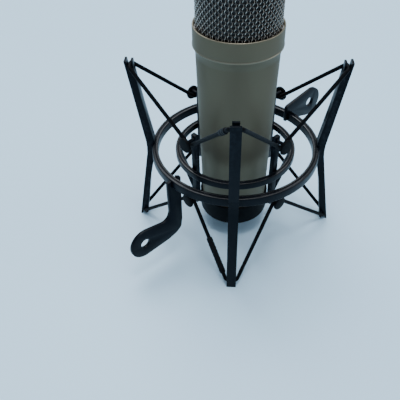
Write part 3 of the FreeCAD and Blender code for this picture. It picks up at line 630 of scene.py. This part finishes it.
def spool(neck_z, disc_z):
    """Neck and disc of one spool, turned about X."""
    parts = []
    for prof, z in (([(0, 36.9), (1.75, 36.9), (1.2, 38.2), (1.2, 42.6), (1.7, 43.5), (0, 43.5)], neck_z),
                    (rounded_profile([(0, 43.4), (5.0, 43.4), (5.0, 45.0), (0, 45.4)], [0, 0.55, 0.7, 0], 4), disc_z)):
        o = lathe("spool_part", [(r, a) for r, a in prof], MAT["frame"], 40)
        o.data.transform(Matrix.Translation((0, 0, z * MM)) @ Matrix.Rotation(math.pi / 2, 4, "Y"))
        parts.append(o)
    return parts


for label, turn in (("back_right", 45.0), ("back_left", 135.0), ("front_left", 225.0), ("front_right", 315.0)):
    bar = prism("post_bar", rounded_profile([(34.1, 36.8), (37.5, 36.8), (37.5, 93.3), (34.1, 93.3)], [1.0, 0.3, 0.3, 1.2], 4),
                2.1, MAT["frame"], 0.5, 3, 0.0)
    objs = [bar] + spool(90.0, 88.8) + spool(40.3, 41.5)
    post = joined("post_" + label, objs)
    post.data.materials.append(MAT["cup"])
    for face in post.data.polygons:
        if face.center.x > 43.3 * MM:
            face.material_index = 1
    post.data.transform(Matrix.Rotation(math.radians(turn), 4, "Z"))
    place(post, "cradle", "mount_black", "cradle_post_" + label)

for label, turn in (("right", 0.0), ("back", 90.0), ("left", 180.0), ("front", 270.0)):
    leg = prism("leg_" + label, [(37.7, 61.3), (24.63, 19.5), (24.63, 14.5), (27.0, 14.5), (40.9, 61.3)],
                2.0, MAT["frame"], 0.5, 3, turn)
    place(leg, "cradle", "mount_black", "cradle_leg_" + label)

cup_profile = rounded_profile([(12.6, 12.1), (24.6, 12.1), (24.6, 27.9), (23.3, 27.9), (23.3, 14.5), (12.6, 14.5)],
                              [0.3, 2.2, 0.5, 0.5, 0.5, 0.3], 5)
place(lathe("cup_shell", cup_profile, MAT["cup"], 160), "cradle", "mount_black", "cup")

# ------------------------------------------------------------------ elastic cords


def loop_corners(tip_r, tip_z, hook_r, hook_z, tip_bend=2.2, hook_bend=2.75, half=3.65):
    pts = []
    for k in range(4):
        t = -math.pi / 2 + k * math.pi / 2
        out, along = np.array([math.cos(t), math.sin(t), 0]), np.array([-math.sin(t), math.cos(t), 0])
        for s in (-half, half):
            pts.append((out * tip_r + along * s + np.array([0, 0, tip_z]), tip_bend))
        h = t + math.pi / 4
        pts.append((np.array([hook_r * math.cos(h), hook_r * math.sin(h), hook_z]), hook_bend))
    return pts


def loop_line(corners, step=1.1):
    """Centreline of the endless cord, in millimetres."""
    n, line, bends = len(corners), [], []
    for i in range(n):
        p, bend = corners[i]
        before = p - corners[i - 1][0]
        after = corners[(i + 1) % n][0] - p
        before /= np.linalg.norm(before)
        after /= np.linalg.norm(after)
        turn = math.acos(float(np.clip(before @ after, -1, 1)))
        back = bend * math.tan(turn / 2)
        axis = np.cross(before, after)
        axis /= np.linalg.norm(axis)
        bends.append((p - before * back, p + after * back, before, axis, turn, bend))
    for i in range(n):
        start, end, before, axis, turn, bend = bends[i]
        inward = np.cross(axis, before)
        centre = start + inward * bend
        arm = start - centre
        k = max(5, int(math.ceil(turn * bend / 0.45)))
        for q in range(k):
            w = turn * q / k
            line.append(centre + arm * math.cos(w) + np.cross(axis, arm) * math.sin(w))
        nxt = bends[(i + 1) % n][0]
        run = nxt - end
        k = max(2, int(np.linalg.norm(run) / step))
        for q in range(k):
            line.append(end + run * q / k)
    return np.array(line)


APEX = 2.75 * (1.0 / math.cos(math.radians(39.2)) - 1.0)
UP = loop_corners(66.48, 127.0, 40.4, 90.0 - 2.75 - APEX)
DOWN = loop_corners(68.73, 3.7, 40.4, 40.3 + 2.75 + APEX)
for name, corners, start, end, node in (("elastic_upper", UP, 0.1255, 0.0895, "upper_cord"),
                                        ("elastic_lower", DOWN, 0.0055, 0.0410, "lower_cord")):
    line = loop_line(corners)
    v, f = sweep_arrays(line * MM, 1.3 * MM, 14, closed=True)
    cord = to_object(name, v, f, MAT["cord"])
    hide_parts(node)
    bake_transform(cord)


def sleeve(name, corners, start, length, outer, node):
    """Crimped sleeve with pinched ribs and rolled ends on the run from the front notch to the front left spool."""
    a, b = corners[0][0], corners[11][0]
    d = (b - a) / np.linalg.norm(b - a)
    prof = []
    n = 40
    for k in range(n + 1):
        u = k / n
        edge = min(u, 1 - u) * length
        r = outer - 0.42 * max(0.0, 1 - edge / 0.8) ** 2
        r += 0.09 * math.cos(u * length * TAU / 2.6) * min(1.0, edge / 1.5)
        prof.append((r, u * length))
    pts = np.array([a + d * (start + u) for r, u in prof]) * MM
    v, f = sweep_arrays(pts, np.array([r for r, u in prof]) * MM, 20)
    o = to_object(name, v, f, MAT["sleeve"])
    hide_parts(node)
    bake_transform(o)
    return o


sleeve("upper_sleeve", UP, 3.6, 8.0, 1.88, "upper_cord_sleeve")
sleeve("lower_sleeve", DOWN, 5.0, 26.0, 2.05, "lower_cord_sleeve")

# ------------------------------------------------------------------ housing
tube_profile = rounded_profile([(21.35, 15.7), (22.65, 15.7), (25.6, 136.6), (24.58, 136.6), (24.58, 148.0),
                                (23.3, 148.0), (23.3, 128.6)], [0.2, 0.6, 0.02, 0, 0.2, 0.2, 3.0], 4)
# 224 segments around keep the long taper's outline smooth
place(lathe("tube_shell", tube_profile, MAT["champagne"], 224), "microphone", "champagne_metal", "body_tube")
collar_profile = rounded_profile([(24.6, 136.6), (25.6, 136.6), (25.64, 137.3), (25.78, 138.3), (26.05, 139.5), (26.5, 140.8),
                                  (27.12, 142.12), (27.48, 142.42), (27.48, 142.72), (27.17, 143.12),
                                  (27.2, 154.8), (26.0, 154.8), (26.0, 150.4), (24.6, 150.4)],
                                 [0.02, 0, 0, 0, 0, 0, 0.1, 0.12, 0.16, 0.1, 0.6, 0.5, 0.2, 0.2], 5)
collar = lathe("collar_shell", collar_profile, MAT["champagne"], 224)
# The bead's outer faces and the top rim take the brighter metal: a painted highlight line along each edge.
collar.data.materials.append(MAT["edge"])
for face in collar.data.polygons:
    c = face.center / MM
    r = math.hypot(c.x, c.y)
    if (r > 27.15 and 142.4 < c.z < 143.15) or c.z > 154.45:
        face.material_index = 1
place(collar, "microphone", "champagne_metal", "collar")


def woven_grille():
    wire, weft, pitch = 0.30, 0.20, 1.88
    amp, dip, sway, rise = 0.36, 0.20, 0.32, 0.10
    mid = 25.5 - wire - amp
    z0, seam = 152.65, 186.0
    parts = []
    count = 84
    rows = int((seam - z0) / pitch)
    step = (seam - z0) / rows
    sub = 6
    z = np.linspace(z0, seam, rows * sub + 1)
    for j in range(count):
        s = (-1) ** j
        turn = math.pi * (z - z0 - step / 2) / step
        t = TAU * j / count + s * sway * np.sin(turn) / mid
        r = mid + amp * np.cos(turn) * s
        pts = np.stack([r * np.cos(t), r * np.sin(t), z], 1)
        parts.append(sweep_arrays(pts * MM, wire * MM, 6))
    warps = len(parts)
    for i in range(rows):
        s = (-1) ** i
        t = np.arange(count * sub) * TAU / (count * sub)
        r = mid - 0.08 - dip * np.cos(t * count / 2) * s
        pts = np.stack([r * np.cos(t), r * np.sin(t), z0 + (i + 0.5) * step + s * rise * np.sin(t * count / 2)], 1)
        parts.append(sweep_arrays(pts * MM, weft * MM, 6, closed=True))
    wefts = len(parts)
    # the crown is one drawn sheet, its square weave eased over the shoulder
    flat, shoulder, top = 8.5, 17.0 - wire - amp, 203.0 - wire - amp
    reach = flat + shoulder * math.pi / 2

    def on_crown(u, v, lift):
        rho = np.sqrt(u * u + v * v)
        a = np.clip((rho - flat) / shoulder, 0, math.pi / 2)
        r = np.where(rho < flat, rho, flat + shoulder * np.sin(a))
        zz = np.where(rho < flat, top, top - shoulder * (1 - np.cos(a)))
        nr, nz = np.where(rho < flat, 0.0, np.sin(a)), np.where(rho < flat, 1.0, np.cos(a))
        c, s = np.where(rho > 1e-9, u / np.maximum(rho, 1e-9), 1.0), np.where(rho > 1e-9, v / np.maximum(rho, 1e-9), 0.0)
        return np.stack([(r + nr * lift) * c, (r + nr * lift) * s, zz + nz * lift], 1)

    lines = int(reach / pitch)
    for k in range(-lines, lines):
        v = (k + 0.5) * pitch
        half = math.sqrt(max(reach * reach - v * v, 0.0))
        if half < 1.5:
            continue
        n = int(2 * half / pitch * 5) + 2
        u = np.linspace(-half, half, n)
        turn = math.pi * (u / pitch - 0.5)
        wave = amp * np.cos(turn) * (-1) ** k
        swing = sway * 0.9 * np.sin(turn) * (-1) ** k
        a = on_crown(u, v + swing, wave)
        b = on_crown(v - swing, u, -wave)
        parts.append(sweep_arrays(a * MM, wire * MM, 6))
        parts.append(sweep_arrays(b * MM, wire * MM, 6))
    # two soldered hoop wires close the seam under the crown
    for zz in (seam - 0.45, seam + 0.45):
        t = np.arange(200) * TAU / 200
        pts = np.stack([25.0 * np.cos(t), 25.0 * np.sin(t), np.full_like(t, zz)], 1)
        parts.append(sweep_arrays(pts * MM, 0.48 * MM, 8, closed=True))
    # Cross-wire faces take the darker material: painted shade.
    kind = []
    for n, (pv, pf) in enumerate(parts):
        kind += [1 if warps <= n < wefts else 0] * len(pf)
    v, f = merge(parts)
    mesh = bpy.data.meshes.new("woven_grille")
    mesh.from_pydata(v.tolist(), [], f)
    mesh.update()
    mesh.polygons.foreach_set("use_smooth", [True] * len(mesh.polygons))
    obj = bpy.data.objects.new("woven_grille", mesh)
    scene.collection.objects.link(obj)
    mesh.materials.append(MAT["wire"])
    mesh.materials.append(MAT["weft"])
    mesh.polygons.foreach_set("material_index", kind)
    return obj


place(woven_grille(), "microphone", "mesh_steel", "grille_outer_mesh")

# ------------------------------------------------------------------ CAD nodes that stay
KEEP = {"cup_washer": "felt", "lock_ring": "cup", "grille_base_ring": "steel", "grille_inner_mesh": "fine",
        "capsule_housing": "brass", "capsule_backplate": "brass", "capsule_diaphragm_front": "gold",
        "capsule_diaphragm_rear": "gold", "capsule_clamp_front": "brass", "capsule_clamp_rear": "brass",
        "capsule_screws": "steel", "capsule_saddle": "white", "deck_plate": "board", "deck_screws": "steel",
        "frame_rail_right": "steel", "frame_rail_left": "steel", "circuit_board": "board",
        "transformer_core": "core", "transformer_coil": "tape", "capacitors": "can", "base_plug": "cast",
        "socket_insert": "insert", "socket_pins": "pin"}
for node, key in KEEP.items():
    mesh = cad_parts[node].data
    mesh.materials.clear()
    mesh.materials.append(MAT[key])

# ------------------------------------------------------------------ floor, light
floor_mesh = bpy.data.meshes.new("floor")
floor_mesh.from_pydata([(-6, -6, 0), (6, -6, 0), (6, 6, 0), (-6, 6, 0)], [], [(0, 1, 2, 3)])
floor = bpy.data.objects.new("floor", floor_mesh)
scene.collection.objects.link(floor)
m = Mat("pale_floor")
cloud = m.noise(1.3, 3.0)
m.set(base=m.ramp(cloud, [(0.3, (0.52, 0.76, 0.96)), (0.7, (0.54, 0.78, 0.975))]),
      rough=m.grey(cloud, 0.42, 0.5), spec=0.35, normal=m.bump(m.noise(900.0, 2.0), 0.00002, 0.2))
floor_mesh.materials.append(m.m)


def area(name, at, to, size, power, colour, size_y=None):
    data = bpy.data.lights.new(name, "AREA")
    data.shape = "RECTANGLE"
    data.size, data.size_y = size, size_y or size
    data.energy = power
    data.color = colour
    obj = bpy.data.objects.new(name, data)
    scene.collection.objects.link(obj)
    obj.location = at
    obj.rotation_euler = (Vector(to) - Vector(at)).to_track_quat("-Z", "Y").to_euler()
    return obj


area("window", (-0.35, 1.05, 1.75), (0, 0, 0.08), 1.5, 33.0, (0.93, 0.97, 1.0), 1.1)
area("overhead", (0.1, 0.0, 2.0), (0, 0, 0), 1.5, 17.0, (0.96, 0.98, 1.0))
area("ceiling_lamp", (0.05, -0.12, 1.5), (0, 0, 0.08), 0.34, 5.0, (0.95, 0.98, 1.0))
area("side", (1.5, 0.2, 0.9), (0, 0, 0.1), 0.9, 4.0, (0.98, 0.98, 1.0))

world = bpy.data.worlds.new("studio")
scene.world = world
world.use_nodes = True
wt = world.node_tree
wt.nodes.clear()
w_out = wt.nodes.new("ShaderNodeOutputWorld")
w_bg = wt.nodes.new("ShaderNodeBackground")
w_tc = wt.nodes.new("ShaderNodeTexCoord")
w_sep = wt.nodes.new("ShaderNodeSeparateXYZ")
w_map = wt.nodes.new("ShaderNodeMapRange")
w_ramp = wt.nodes.new("ShaderNodeValToRGB")
wt.links.new(w_tc.outputs["Generated"], w_sep.inputs[0])
w_map.inputs["From Min"].default_value = -0.6
w_map.inputs["From Max"].default_value = 0.9
w_top = wt.nodes.new("ShaderNodeMapRange")
w_top.inputs["From Min"].default_value = 0.62
w_top.inputs["From Max"].default_value = 0.92
w_top.inputs["To Max"].default_value = 1.1
wt.links.new(w_sep.outputs["Z"], w_top.inputs["Value"])
w_max = wt.nodes.new("ShaderNodeMath")
w_max.operation = "MAXIMUM"
wt.links.new(w_sep.outputs["Y"], w_max.inputs[0])
wt.links.new(w_top.outputs["Result"], w_max.inputs[1])
wt.links.new(w_max.outputs[0], w_map.inputs["Value"])
wt.links.new(w_map.outputs["Result"], w_ramp.inputs["Fac"])
els = w_ramp.color_ramp.elements
els[0].position, els[0].color = 0.0, (0.16, 0.18, 0.20, 1)
els[1].position, els[1].color = 1.0, (0.80, 0.90, 1.0, 1)
wt.links.new(w_ramp.outputs["Color"], w_bg.inputs["Color"])
w_bg.inputs["Strength"].default_value = 0.75
wt.links.new(w_bg.outputs[0], w_out.inputs["Surface"])
